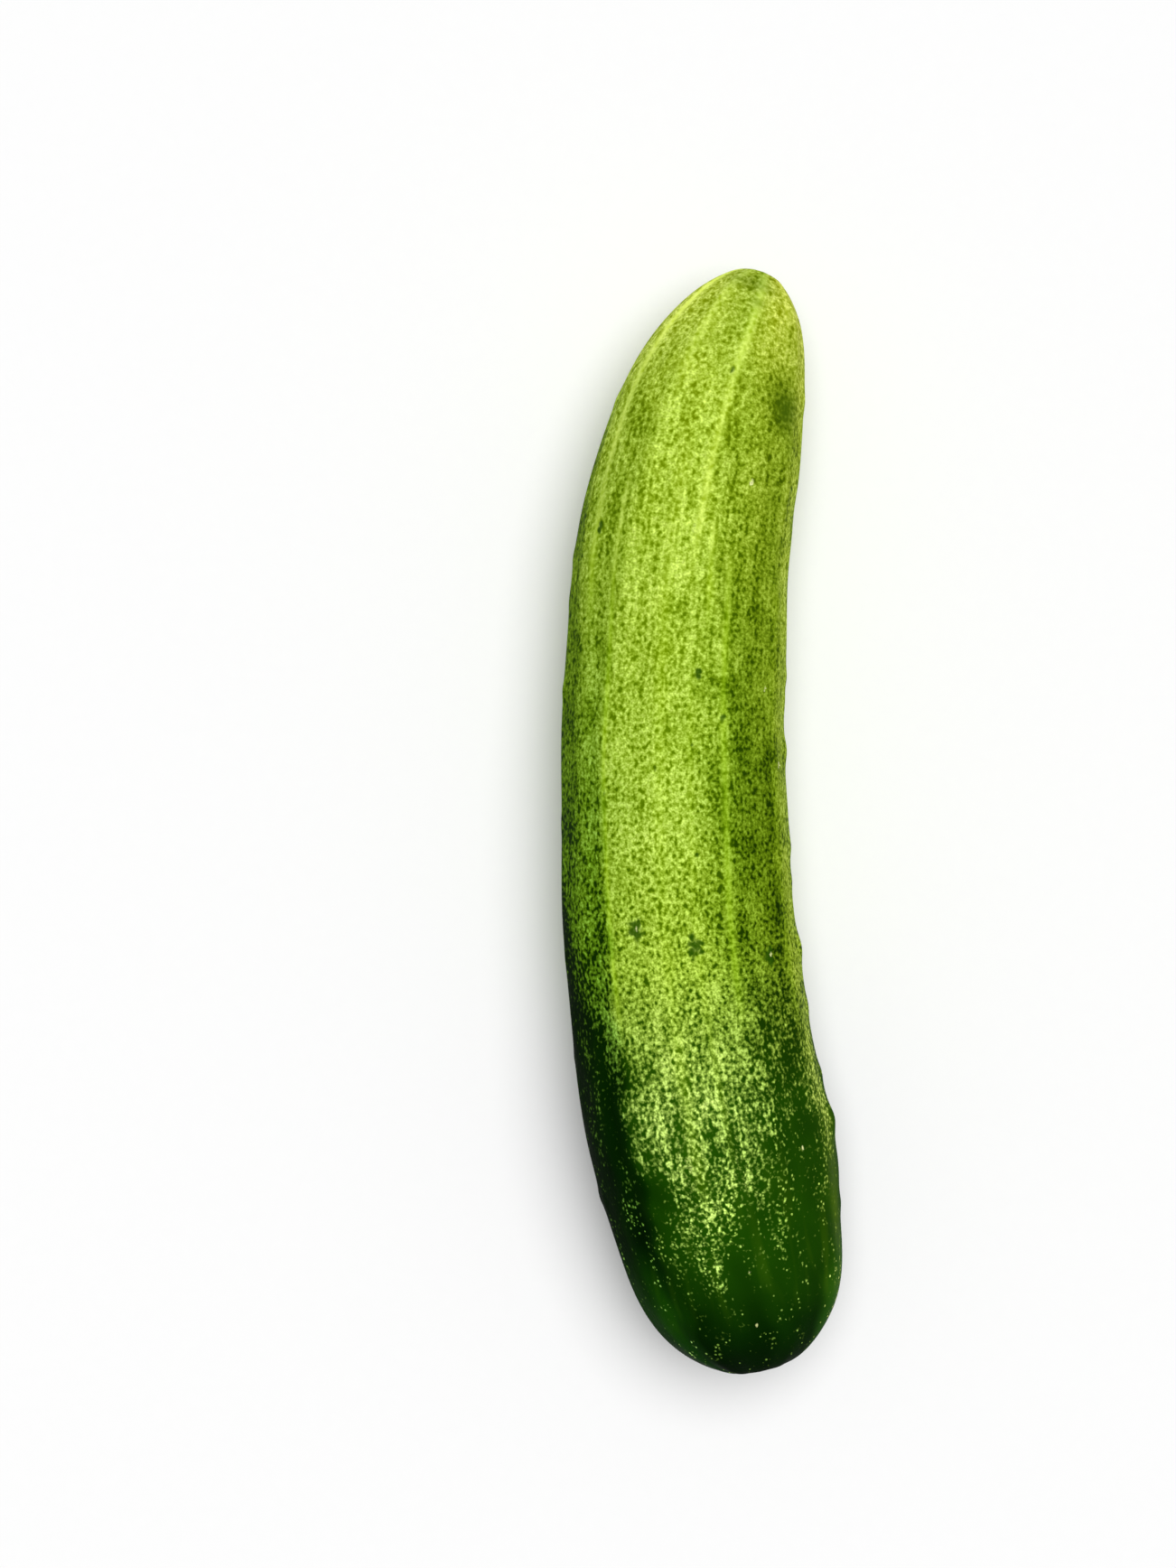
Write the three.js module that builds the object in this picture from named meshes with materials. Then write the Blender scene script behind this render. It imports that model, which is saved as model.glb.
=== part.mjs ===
// A cucumber lying on its side, as picked: one curved fruit, a little thicker towards the stem.
// Low ribs run from end to end, with warts scattered along them. The thick end has the scar
// of the stem, and the thin end the scar of the blossom.
// Millimetres. +Y runs from the stem end to the blossom end and +Z is up, from the flat spot
// that the fruit rests on, at z = 0.
import * as THREE from 'three';

// ---- Driving dimensions ----

const LENGTH = 190;
const HALF_LENGTH = LENGTH / 2;
const HEIGHT_TO_WIDTH = 0.97;

// The fruit's axis and its thickness before the ends round off, from the stem to the blossom:
// x is the sideways bend, z the height of the axis above the surface that carries the fruit.
const STATIONS = [
  { y: -HALF_LENGTH, x: 10.6, z: 18.0, radius: 26.8 },
  { y: -72, x: 5.3, z: 19.0, radius: 20.8 },
  { y: -50, x: 0.7, z: 19.8, radius: 20.8 },
  { y: -25, x: -3.1, z: 18.8, radius: 19.7 },
  { y: 0, x: -4.6, z: 18.4, radius: 19.4 },
  { y: 25, x: -4.5, z: 17.7, radius: 18.6 },
  { y: 50, x: -2.5, z: 17.2, radius: 18.1 },
  { y: 72, x: 2.5, z: 16.4, radius: 18.0 },
  { y: HALF_LENGTH, x: 10.6, z: 14.9, radius: 18.1 },
];

// Each end rounds off over its reach. A power of 2 is an ellipse, and less is more pointed.
const STEM_END = { reach: 37, power: 1.85 };
const BLOSSOM_END = { reach: 46.3, power: 2 };

// Both scars are shallow dimples in the tips, with a low rim.
const STEM_SCAR = { radius: 3.6, depth: 1.5, rim: 0.25 };
const BLOSSOM_SCAR = { radius: 2.2, depth: 0.5, rim: 0.15 };

// The section is faintly three-lobed, and the body is a little uneven along its length.
const LOBE_SHARE = 0.012;
const SWELL = 0.2;

// Ribs, by angle from the top towards +X: along the body, and where they meet at the blossom end.
const RIB_HALF_WIDTH = 9;
const RIBS = [
  { body: -56, blossom: -74, height: 0.2 },
  { body: -37, blossom: -28, height: 0.45 },
  { body: -8, blossom: -8, height: 0.2 },
  { body: 27, blossom: 7, height: 0.45 },
  { body: 62, blossom: 58, height: 0.25 },
  { body: 96, blossom: 92, height: 0.4 },
  { body: 131, blossom: 128, height: 0.3 },
  { body: 166, blossom: 164, height: 0.3 },
  { body: 201, blossom: 203, height: 0.4 },
  { body: 236, blossom: 240, height: 0.3 },
  { body: 272, blossom: 268, height: 0.35 },
];
const RIB_BEND_START = 15;
const RIB_BEND_END = 65;
const RIB_FADE = 9;

// Warts: a rule strews low ones along every rib, and a few larger ones, with two broad hollows, are
// on the outer side.
const WART_ROW_START = -78;
const WART_SPACING = 17;
const WARTS_PER_RIB = 9;
const WART_DRIFT = 7;
const WART_WIDTH = 1.3;
const WART_STRETCH = 1.3;
const WART_HEIGHT = { low: 0.1, high: 0.3 };
const OUTER_WARTS = [
  { y: 77, angle: 88, height: 0.25, width: 1.6 },
  { y: 57, angle: 89, height: -0.3, width: 3.5 },
  { y: 21, angle: 90, height: 0.15, width: 1.6 },
  { y: 12, angle: 90, height: 0.5, width: 1.9 },
  { y: -3.5, angle: 90, height: 0.1, width: 1.5 },
  { y: -24, angle: 91, height: 0.55, width: 2.2 },
  { y: -35, angle: 90, height: 0.3, width: 1.7 },
  { y: -38.5, angle: 90, height: -0.4, width: 7 },
  { y: -55.5, angle: 89, height: 0.8, width: 2.2 },
  { y: -64, angle: 90, height: 0.3, width: 3.5 },
];

// Facets: rings along the fruit and sides around it. Rings stand closer together at the ends.
const RINGS = 84;
const SIDES = 60;
const RING_CROWDING = 0.4;
const OUTLINE_SAMPLES = 2000;

// ---- Small helpers ----

const radians = (degrees) => THREE.MathUtils.degToRad(degrees);

// A repeatable fraction from 0 to 1 for two whole numbers.
function scatter(a, b) {
  const wave = Math.sin(a * 12.9898 + b * 78.233) * 43758.5453;
  return wave - Math.floor(wave);
}

// The smallest turn between two angles, in degrees.
function turnBetween(a, b) {
  return ((a - b + 540) % 360 + 360) % 360 - 180;
}

// A smooth curve through one column of the stations.
function along(column, y) {
  const last = STATIONS.length - 1;
  let i = 0;
  while (i < last - 1 && y > STATIONS[i + 1].y) i += 1;
  const slope = (k) => {
    const before = STATIONS[Math.max(k - 1, 0)];
    const after = STATIONS[Math.min(k + 1, last)];
    return (after[column] - before[column]) / (after.y - before.y);
  };
  const [from, to] = [STATIONS[i], STATIONS[i + 1]];
  const step = to.y - from.y;
  const t = (y - from.y) / step;
  return (2 * t ** 3 - 3 * t ** 2 + 1) * from[column]
    + (t ** 3 - 2 * t ** 2 + t) * step * slope(i)
    + (3 * t ** 2 - 2 * t ** 3) * to[column]
    + (t ** 3 - t ** 2) * step * slope(i + 1);
}

// How far a rounded end has opened, from 0 at its tip to 1 at the full thickness.
function opening(fromTip, end) {
  const left = THREE.MathUtils.clamp(1 - fromTip / end.reach, 0, 1);
  return (1 - left ** end.power) ** (1 / end.power);
}

// ---- The fruit's surface ----

// The plain radius of the fruit at y, rounded off at both ends.
function plainRadius(y) {
  return along('radius', y)
    * opening(HALF_LENGTH + y, STEM_END)
    * opening(HALF_LENGTH - y, BLOSSOM_END);
}

// The height of the ribs at a place on the skin.
function ribHeight(y, angle) {
  const bend = THREE.MathUtils.smoothstep(y, RIB_BEND_START, RIB_BEND_END);
  const heights = RIBS.map((rib) => {
    const offAxis = turnBetween(angle, THREE.MathUtils.lerp(rib.body, rib.blossom, bend));
    return rib.height * Math.exp(-((offAxis / RIB_HALF_WIDTH) ** 2));
  });
  return Math.max(...heights);
}

// Every wart, as its place on the skin, its height and its width.
function placeWarts() {
  const strewn = RIBS.flatMap((rib, row) => Array.from({ length: WARTS_PER_RIB }, (_, i) => ({
    y: WART_ROW_START + (i + scatter(row, i)) * WART_SPACING,
    angle: rib.body + (scatter(row + 20, i) - 0.5) * 2 * WART_DRIFT,
    height: THREE.MathUtils.lerp(WART_HEIGHT.low, WART_HEIGHT.high, scatter(row + 40, i)),
    width: WART_WIDTH,
  })));
  return [...strewn, ...OUTER_WARTS];
}

const WARTS = placeWarts();

// The height of the warts at a place on the skin, where the fruit has the given radius.
function wartHeight(y, angle, radius) {
  let height = 0;
  for (const wart of WARTS) {
    const lengthwise = (y - wart.y) / (wart.width * WART_STRETCH);
    const around = radians(turnBetween(angle, wart.angle)) * radius / wart.width;
    height += wart.height * Math.exp(-(lengthwise ** 2) - around ** 2);
  }
  return height;
}

// The slow unevenness of a grown fruit, as a share of SWELL.
function swelling(y, angle) {
  const turn = radians(angle);
  return Math.sin(0.11 * y + 1.3) * Math.cos(2 * turn + 0.5)
    + 0.6 * Math.sin(0.21 * y + turn);
}

// How far a tip is pushed in, at a given radius from its centre.
function dimple(radius, scar) {
  const rim = scar.rim * Math.exp(-(((radius - 1.6 * scar.radius) / scar.radius) ** 2));
  return scar.depth * Math.exp(-((radius / scar.radius) ** 2)) - rim;
}

// The axis at y, with its direction, its side and its upward normal.
function axisFrame(y) {
  const reach = 0.05;
  const low = Math.max(y - reach, -HALF_LENGTH);
  const high = Math.min(y + reach, HALF_LENGTH);
  const point = (at) => new THREE.Vector3(along('x', at), at, along('z', at));
  const forward = point(high).sub(point(low)).normalize();
  const side = new THREE.Vector3().crossVectors(forward, new THREE.Vector3(0, 0, 1)).normalize();
  const up = new THREE.Vector3().crossVectors(side, forward);
  return { centre: point(y), forward, side, up };
}

// A point of the skin: at y along the axis and at an angle from the top towards +X.
function skinPoint(y, angle) {
  const { centre, forward, side, up } = axisFrame(y);
  const turn = radians(angle);
  const plain = plainRadius(y);
  const fade = Math.min(plain / RIB_FADE, 1);
  const relief = ribHeight(y, angle) + wartHeight(y, angle, plain) + SWELL * swelling(y, angle);
  const radius = plain * (1 + LOBE_SHARE * Math.cos(3 * turn)) + relief * fade;
  const inset = dimple(plain, STEM_SCAR) * (y < 0) - dimple(plain, BLOSSOM_SCAR) * (y > 0);
  const place = centre
    .addScaledVector(side, radius * Math.sin(turn))
    .addScaledVector(up, radius * Math.cos(turn) * HEIGHT_TO_WIDTH)
    .addScaledVector(forward, inset);
  place.z = Math.max(place.z, 0); // the flat spot that the fruit rests on
  return place;
}

// The y of each ring from tip to tip, walked in steps along the outline.
function ringPlaces() {
  const outline = Array.from({ length: OUTLINE_SAMPLES + 1 }, (_, i) => {
    const y = -HALF_LENGTH * Math.cos(Math.PI * i / OUTLINE_SAMPLES);
    return { y, radius: plainRadius(y), walked: 0 };
  });
  for (let i = 1; i <= OUTLINE_SAMPLES; i += 1) {
    const step = Math.hypot(outline[i].y - outline[i - 1].y, outline[i].radius - outline[i - 1].radius);
    outline[i].walked = outline[i - 1].walked + step;
  }
  const whole = outline[OUTLINE_SAMPLES].walked;
  return Array.from({ length: RINGS - 1 }, (_, k) => {
    const share = (k + 1) / RINGS;
    const goal = whole * (share - RING_CROWDING * Math.sin(2 * Math.PI * share) / (2 * Math.PI));
    const i = outline.findIndex((sample) => sample.walked >= goal);
    const [before, after] = [outline[i - 1], outline[i]];
    const t = (goal - before.walked) / (after.walked - before.walked);
    return THREE.MathUtils.lerp(before.y, after.y, t);
  });
}

// ---- The closed mesh ----

function cucumberGeometry() {
  const rings = ringPlaces();
  const points = [skinPoint(-HALF_LENGTH, 0)];
  for (const y of rings) {
    for (let side = 0; side < SIDES; side += 1) {
      points.push(skinPoint(y, side * 360 / SIDES));
    }
  }
  points.push(skinPoint(HALF_LENGTH, 0));

  const stemTip = 0;
  const blossomTip = points.length - 1;
  const at = (ring, side) => 1 + ring * SIDES + (side % SIDES);
  const faces = [];
  for (let side = 0; side < SIDES; side += 1) {
    faces.push(stemTip, at(0, side + 1), at(0, side));
    faces.push(blossomTip, at(rings.length - 1, side), at(rings.length - 1, side + 1));
  }
  for (let ring = 0; ring < rings.length - 1; ring += 1) {
    for (let side = 0; side < SIDES; side += 1) {
      const [a, b] = [at(ring, side), at(ring, side + 1)];
      const [c, d] = [at(ring + 1, side + 1), at(ring + 1, side)];
      faces.push(a, b, c, a, c, d);
    }
  }

  const geometry = new THREE.BufferGeometry();
  geometry.setAttribute('position', new THREE.Float32BufferAttribute(points.flatMap((p) => p.toArray()), 3));
  geometry.setIndex(faces);
  geometry.computeVertexNormals();
  return geometry;
}

const skin = new THREE.MeshStandardMaterial({ color: 0x8fae3c, roughness: 0.4, metalness: 0 });
const cucumber = new THREE.Mesh(cucumberGeometry(), skin);
cucumber.name = 'cucumber';

const group = new THREE.Group();
group.add(cucumber);

export default group;
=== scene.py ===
"""A cucumber as picked, lying on its side: the skin with its ribs, warts and speckle, the corky
scars in both tips and the few spine stubs that are left. It is laid out as a Blender add-on and
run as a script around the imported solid, which the skin stands for."""

import math

import bpy
import numpy as np
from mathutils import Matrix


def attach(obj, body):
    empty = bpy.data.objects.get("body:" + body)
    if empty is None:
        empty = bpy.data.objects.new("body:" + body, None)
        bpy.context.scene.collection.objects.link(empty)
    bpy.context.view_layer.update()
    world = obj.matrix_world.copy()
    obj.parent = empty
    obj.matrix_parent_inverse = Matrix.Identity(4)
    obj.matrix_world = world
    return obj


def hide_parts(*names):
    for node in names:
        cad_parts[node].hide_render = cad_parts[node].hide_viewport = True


bl_info = {
    "name": "Speckled Cucumber",
    "version": (1, 0, 0),
    "blender": (4, 5, 0),
    "location": "3D View > Sidebar > Cucumber",
    "description": "Grows a speckled cucumber with its scars and spine stubs, and sets its stage",
    "category": "Add Mesh",
}

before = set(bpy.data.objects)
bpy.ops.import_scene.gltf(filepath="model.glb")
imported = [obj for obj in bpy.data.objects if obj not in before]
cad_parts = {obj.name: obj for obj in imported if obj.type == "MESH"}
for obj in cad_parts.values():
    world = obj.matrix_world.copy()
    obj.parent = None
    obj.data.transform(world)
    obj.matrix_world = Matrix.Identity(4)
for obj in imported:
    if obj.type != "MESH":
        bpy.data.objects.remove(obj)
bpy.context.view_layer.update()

BODY = "root"
NODE = "cucumber"
MM = 0.001

# ---- The form, in millimetres: the same values as the solid's ----

HALF_LENGTH = 95.0
HEIGHT_TO_WIDTH = 0.97
# y along the fruit, x of the bend, z of the axis, radius before the ends round off
STATIONS = np.array(
    [
        (-95, 10.6, 18.0, 26.8),
        (-72, 5.3, 19.0, 20.8),
        (-50, 0.7, 19.8, 20.8),
        (-25, -3.1, 18.8, 19.7),
        (0, -4.6, 18.4, 19.4),
        (25, -4.5, 17.7, 18.6),
        (50, -2.5, 17.2, 18.1),
        (72, 2.5, 16.4, 18.0),
        (95, 10.6, 14.9, 18.1),
    ]
)
AXIS_X, AXIS_Z, RADIUS = 1, 2, 3
# How each end rounds off: over what length, and how bluntly
STEM_END = {"reach": 37.0, "power": 1.85}
BLOSSOM_END = {"reach": 46.3, "power": 2.0}
# The dimple of each scar, and how far the skin swells round it
STEM_SCAR = {"radius": 3.6, "depth": 1.5, "rim": 0.25}
BLOSSOM_SCAR = {"radius": 2.2, "depth": 0.5, "rim": 0.15}
# How far the section is three-sided, as a share of its radius, and the slow unevenness
LOBE_SHARE = 0.012
SWELL = 0.2

RIB_HALF_WIDTH = 9.0  # degrees
# Angle from the top towards +X along the body, the same at the blossom end, and height
RIBS = np.array(
    [
        (-56, -74, 0.2),
        (-37, -28, 0.45),
        (-8, -8, 0.2),
        (27, 7, 0.45),
        (62, 58, 0.25),
        (96, 92, 0.4),
        (131, 128, 0.3),
        (166, 164, 0.3),
        (201, 203, 0.4),
        (236, 240, 0.3),
        (272, 268, 0.35),
    ]
)
# The y between which a rib turns from its first angle to its second
RIB_BEND = (15.0, 65.0)
# The radius below which ribs and warts fade out towards a tip
RIB_FADE = 9.0

# Warts are strewn along each rib, one for each step of the spacing
WART_ROW_START = -78.0
WART_SPACING = 17.0
WARTS_PER_RIB = 9
WART_DRIFT = 7.0  # degrees
WART_WIDTH = 1.3
WART_STRETCH = 1.3
WART_HEIGHT = (0.1, 0.3)
# y, angle, height and width of the larger warts on the outer side. One below 0 is a hollow
OUTER_WARTS = np.array(
    [
        (77, 88, 0.25, 1.6),
        (57, 89, -0.3, 3.5),
        (21, 90, 0.15, 1.6),
        (12, 90, 0.5, 1.9),
        (-3.5, 90, 0.1, 1.5),
        (-24, 91, 0.55, 2.2),
        (-35, 90, 0.3, 1.7),
        (-38.5, 90, -0.4, 7),
        (-55.5, 89, 0.8, 2.2),
        (-64, 90, 0.3, 3.5),
    ]
)
# How much closer the rings of points stand towards the tips
RING_CROWDING = 0.4
OUTLINE_SAMPLES = 4000

# ---- The markings ----

# How far the pale flecks reach towards the stem: the angle in the body's rib pattern, the y
# where they thin out, and how gently they do.
FLECK_REACH = np.array(
    [
        (-88, -12, 20),
        (-68, -22, 22),
        (-56, -30, 22),
        (-46, -37, 26),
        (-40, -42, 24),
        (-36, -52, 22),
        (-28, -68, 18),
        (-22, -69, 14),
        (-16, -72, 14),
        (-12, -70, 12),
        (-9, -76, 10),
        (-6, -68, 12),
        (1, -59, 16),
        (7, -67, 16),
        (12, -68, 16),
        (18, -69, 16),
        (23, -64, 22),
        (27, -56, 22),
        (31, -51, 22),
        (38, -48, 24),
        (47, -49, 20),
        (54, -45, 28),
        (62, -61, 24),
        (76, -65, 24),
        (86, -56, 22),
        (96, -38, 20),
        (131, -42, 20),
        (150, -60, 16),
        (166, -46, 20),
        (186, -64, 16),
        (203, -44, 20),
        (220, -58, 16),
        (238, -36, 20),
        (255, -44, 18),
    ]
)
# The long bands between the ribs, by the same angle: how pale their grain is, and how bright
# they are at the blossom end, in the middle and at the stem end
# The low brightness of the left flank, from -88 to -56, is partly a deeper green and partly
# painted shade
BANDS_AND_PAINTED_SHADE = np.array(
    [
        (-88, 0.0, 0.36, 0.30, 0.30),
        (-66, 0.0, 0.50, 0.42, 0.30),
        (-58, 0.0, 0.90, 0.62, 0.42),
        (-46, -0.1, 0.80, 0.57, 0.36),
        (-39, 0.0, 0.84, 0.66, 0.50),
        (-37, 0.1, 0.94, 0.82, 0.58),
        (-26, 0.1, 1.04, 0.90, 0.74),
        (-12, 0.1, 1.04, 0.96, 0.90),
        (2, 0.0, 0.98, 0.94, 0.76),
        (12, 0.0, 0.98, 0.80, 0.74),
        (21, -0.1, 1.05, 0.60, 0.70),
        (26, 0.0, 1.00, 0.56, 0.68),
        (28, -0.2, 0.86, 0.41, 0.67),
        (38, -0.2, 0.72, 0.36, 0.67),
        (46, -0.2, 0.64, 0.30, 0.64),
        (56, -0.3, 0.48, 0.29, 0.66),
        (62, 0.0, 0.50, 0.41, 0.70),
        (70, 0.1, 0.64, 0.56, 0.80),
        (80, 0.2, 0.85, 0.76, 0.80),
        (96, 0.1, 0.70, 0.62, 0.70),
        (113, 0.2, 0.90, 0.90, 0.80),
        (131, 0.0, 0.60, 0.55, 0.55),
        (150, 0.2, 0.95, 0.95, 0.90),
        (186, 0.2, 1.00, 1.00, 0.95),
        (203, 0.0, 0.70, 0.65, 0.60),
        (220, 0.2, 0.90, 0.90, 0.80),
        (238, 0.0, 0.65, 0.55, 0.45),
        (255, 0.0, 0.60, 0.45, 0.35),
    ]
)
# The y where the brightness leaves the middle's, and where it has reached each end's
BLOSSOM_TONE = (0.0, 60.0)
STEM_TONE = (-10.0, -60.0)
# Where the green turns olive, above 0, and where it stays deep, below 0, by the same angle
# The deep, darker green on the left flank, from -80 to -44, is partly the skin's own and partly
# painted shade
WARMTH = np.array(
    [
        (-80, -0.8),
        (-44, -0.9),
        (-36, -0.1),
        (24, 0.0),
        (38, 0.2),
        (52, 0.4),
        (70, 0.5),
        (120, 0.2),
    ]
)
# The fleck level of bare ground: 0 is half covered
BARE = -3.4
# Smooth yellow-green lines: the y and angle of the stemward end, those of the other end, and
# strength and half width
LINES = np.array(
    [
        (34, -56, 94, -66, 1.2, 0.8),
        (70, -25, 94, -30, 0.6, 0.8),
        (42, 4.5, 94, 8, 0.7, 0.6),
        (70, 6, 94, 8.5, 1.0, 0.8),
        (34, 14.5, 50, 13, 0.7, 0.5),
        (78, 44, 93, 47, 0.4, 0.8),
        (-34, -37, 55, -39, 0.9, 0.5),
        (-34, 23.5, 44, 24.5, 0.8, 0.6),
        (-75, 76, -34, 74, 0.18, 3.6),
        (-62, -9, 60, -8, 0.2, 1.0),
        (-56, 7, 26, 6.5, 0.2, 0.5),
        (-40, 62, 92, 60, 0.3, 1.2),
        (-30, 113, 90, 110, 0.6, 1.3),
        (-20, 150, 92, 148, 0.5, 1.5),
        (-40, 186, 90, 184, 0.5, 1.5),
        (-20, 220, 92, 222, 0.6, 1.3),
        (-10, 255, 92, 254, 0.6, 1.3),
    ]
)
# Spots where spines have come off: y, angle on the skin, radius. A large one is a star
LARGE_SPOT = 0.9
DARK_SPOTS = np.array(
    [
        (75.2, 4, 0.6),
        (47.5, -55, 0.8),
        (24.2, 10.5, 0.85),
        (48.5, 2.6, 0.45),
        (17, 23.5, 0.6),
        (4.5, -37, 0.5),
        (-17.8, -23.5, 1.7),
        (-21.5, 5, 1.6),
        (-36, 42, 0.6),
        (-24.5, 46, 1.4),
        (12, 8, 0.45),
        (-6, 9, 0.45),
        (60, 72, 0.8),
        (8, -10, 0.4),
        (30, 140, 0.8),
        (-12, 168, 0.9),
        (52, 205, 0.8),
        (-30, 238, 0.9),
        (10, 262, 0.8),
        (-48, 118, 0.9),
    ]
)
PALE_SPOTS = np.array(
    [
        (58.2, 31, 0.42),
        (-17.8, -23, 0.3),
        (22.5, 54, 0.35),
        (-57.5, 45, 0.35),
        (-24.3, 47.5, 0.3),
        (-84.2, 2, 0.2),
        (-74.8, 4, 0.25),
        (9, 70, 0.5),
        (-20, 150, 0.4),
        (35, 232, 0.4),
    ]
)
# Shallow bruises: y, angle, half length, half width and strength
BRUISES = np.array(
    [
        (72.5, 52, 3.4, 3.6, 1.1),
        (91.3, -7, 1.6, 4.2, 0.5),
        (88, 8, 1.0, 1.2, 0.4),
    ]
)

# How widely the noise node's value spreads round its middle
NOISE_SPREAD = 0.126


def scatter(a, b):
    """A repeatable fraction from 0 to 1 for two whole numbers, or arrays of them."""
    wave = np.sin(a * 12.9898 + b * 78.233) * 43758.5453
    return wave - np.floor(wave)


def turn_between(a, b):
    """The smallest turn from b to a, in degrees."""
    return (a - b + 180) % 360 - 180


def arc(angle, turn, radius):
    """The way round from turn to angle, both in degrees, on a circle of that radius."""
    return np.radians(turn_between(angle, turn)) * radius


def smooth(low, high, value):
    """0 at low, 1 at high and an easy slope between them."""
    t = np.clip((value - low) / (high - low), 0, 1)
    return t * t * (3 - 2 * t)


def along(column, y):
    """A smooth curve through one column of the stations."""
    places, values = STATIONS[:, 0], STATIONS[:, column]
    last = len(places) - 1
    before = np.maximum(np.arange(last + 1) - 1, 0)
    after = np.minimum(np.arange(last + 1) + 1, last)
    slopes = (values[after] - values[before]) / (places[after] - places[before])
    i = np.clip(np.searchsorted(places, y, side="left") - 1, 0, last - 1)
    step = places[i + 1] - places[i]
    t = (y - places[i]) / step
    return (
        (2 * t**3 - 3 * t**2 + 1) * values[i]
        + (t**3 - 2 * t**2 + t) * step * slopes[i]
        + (3 * t**2 - 2 * t**3) * values[i + 1]
        + (t**3 - t**2) * step * slopes[i + 1]
    )


def opening(from_tip, end):
    """How far a rounded end has opened, from 0 at its tip to 1 at the full thickness."""
    left = np.clip(1 - from_tip / end["reach"], 0, 1)
    return (1 - left ** end["power"]) ** (1 / end["power"])


def plain_radius(y):
    """The radius of the fruit at y without ribs or warts."""
    return (
        along(RADIUS, y)
        * opening(HALF_LENGTH + y, STEM_END)
        * opening(HALF_LENGTH - y, BLOSSOM_END)
    )


def rib_angles(y):
    """The angle of each rib at y: one row for each y."""
    bend = smooth(*RIB_BEND, np.asarray(y))[..., None]
    return RIBS[:, 0] + (RIBS[:, 1] - RIBS[:, 0]) * bend


def rib_height(y, angle):
    """The height of the ribs above the plain form."""
    off_axis = turn_between(angle[..., None], rib_angles(y)) / RIB_HALF_WIDTH
    return (RIBS[:, 2] * np.exp(-(off_axis**2))).max(-1)


def place_warts():
    """Every wart, as rows of y, angle, height and width."""
    rows, steps = np.meshgrid(np.arange(len(RIBS)), np.arange(WARTS_PER_RIB), indexing="ij")
    low, high = WART_HEIGHT
    strewn = np.stack(
        [
            WART_ROW_START + (steps + scatter(rows, steps)) * WART_SPACING,
            RIBS[rows, 0] + (scatter(rows + 20, steps) - 0.5) * 2 * WART_DRIFT,
            low + (high - low) * scatter(rows + 40, steps),
            np.full(rows.shape, WART_WIDTH),
        ],
        -1,
    )
    return np.vstack([strewn.reshape(-1, 4), OUTER_WARTS])


WARTS = place_warts()


def wart_height(y, angle, radius):
    """The height of the warts above the plain form."""
    height = np.zeros(np.shape(y))
    for place, turn, tall, width in WARTS:
        lengthwise = (y - place) / (width * WART_STRETCH)
        around = arc(angle, turn, radius) / width
        height += tall * np.exp(-(lengthwise**2) - around**2)
    return height


def swelling(y, angle):
    """The slow unevenness of a grown fruit, as a share of SWELL."""
    turn = np.radians(angle)
    return np.sin(0.11 * y + 1.3) * np.cos(2 * turn + 0.5) + 0.6 * np.sin(0.21 * y + turn)


def dimple(radius, scar):
    """How far a tip is pushed in, at a given radius from its centre."""
    rim = scar["rim"] * np.exp(-(((radius - 1.6 * scar["radius"]) / scar["radius"]) ** 2))
    return scar["depth"] * np.exp(-((radius / scar["radius"]) ** 2)) - rim


def axis_frame(y):
    """The axis at y: its centre, direction, side and upward normal."""
    reach = 0.05
    low, high = np.maximum(y - reach, -HALF_LENGTH), np.minimum(y + reach, HALF_LENGTH)
    across = along(AXIS_X, high) - along(AXIS_X, low)
    rise = along(AXIS_Z, high) - along(AXIS_Z, low)
    forward = np.stack([across, high - low, rise], -1)
    forward /= np.linalg.norm(forward, axis=-1, keepdims=True)
    side = np.cross(forward, (0, 0, 1))
    side /= np.linalg.norm(side, axis=-1, keepdims=True)
    centre = np.stack([along(AXIS_X, y), y, along(AXIS_Z, y)], -1)
    return centre, forward, side, np.cross(side, forward)


def skin_points(y, angle, lift=0.0):
    """Points of the skin, in millimetres, flat where it rests.

    lift moves them outwards, and along the axis near a tip.
    """
    centre, forward, side, up = axis_frame(y)
    turn, plain = np.radians(angle), plain_radius(y)
    fade = np.minimum(plain / RIB_FADE, 1)
    relief = rib_height(y, angle) + wart_height(y, angle, plain) + SWELL * swelling(y, angle)
    radius = plain * (1 + LOBE_SHARE * np.cos(3 * turn)) + (relief + lift) * fade
    stemward = y < 0
    inset = np.where(stemward, dimple(plain, STEM_SCAR), -dimple(plain, BLOSSOM_SCAR))
    inset += np.where(stemward, -1, 1) * lift * (1 - fade)
    points = (
        centre
        + (radius * np.sin(turn))[..., None] * side
        + (radius * np.cos(turn) * HEIGHT_TO_WIDTH)[..., None] * up
        + inset[..., None] * forward
    )
    points[..., 2] = np.maximum(points[..., 2], 0)
    return points


def ring_places(rings):
    """The y of each ring from tip to tip, walked in steps along the outline."""
    y = -HALF_LENGTH * np.cos(np.pi * np.arange(OUTLINE_SAMPLES + 1) / OUTLINE_SAMPLES)
    steps = np.hypot(np.diff(y), np.diff(plain_radius(y)))
    walked = np.concatenate([[0], np.cumsum(steps)])
    share = np.arange(1, rings) / rings
    goal = walked[-1] * (share - RING_CROWDING * np.sin(2 * np.pi * share) / (2 * np.pi))
    return np.interp(goal, walked, y)


def body_angle(y, angle):
    """The angle that a place on the skin has in the body's rib pattern."""
    ribs = rib_angles(y)
    turned = ribs[:, :1] + (angle - ribs[:, 0])[:, None] % 360
    placed = np.empty(len(y))
    for i in range(len(RIBS)):
        following = (i + 1) % len(RIBS)
        low, high = ribs[:, i], ribs[:, following] + 360 * (following == 0)
        body_low, body_high = RIBS[i, 0], RIBS[following, 0] + 360 * (following == 0)
        inside = (turned[:, 0] >= low) & (turned[:, 0] <= high)
        share = (turned[:, 0] - low) / (high - low)
        placed[inside] = (body_low + (body_high - body_low) * share)[inside]
    return placed


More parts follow.
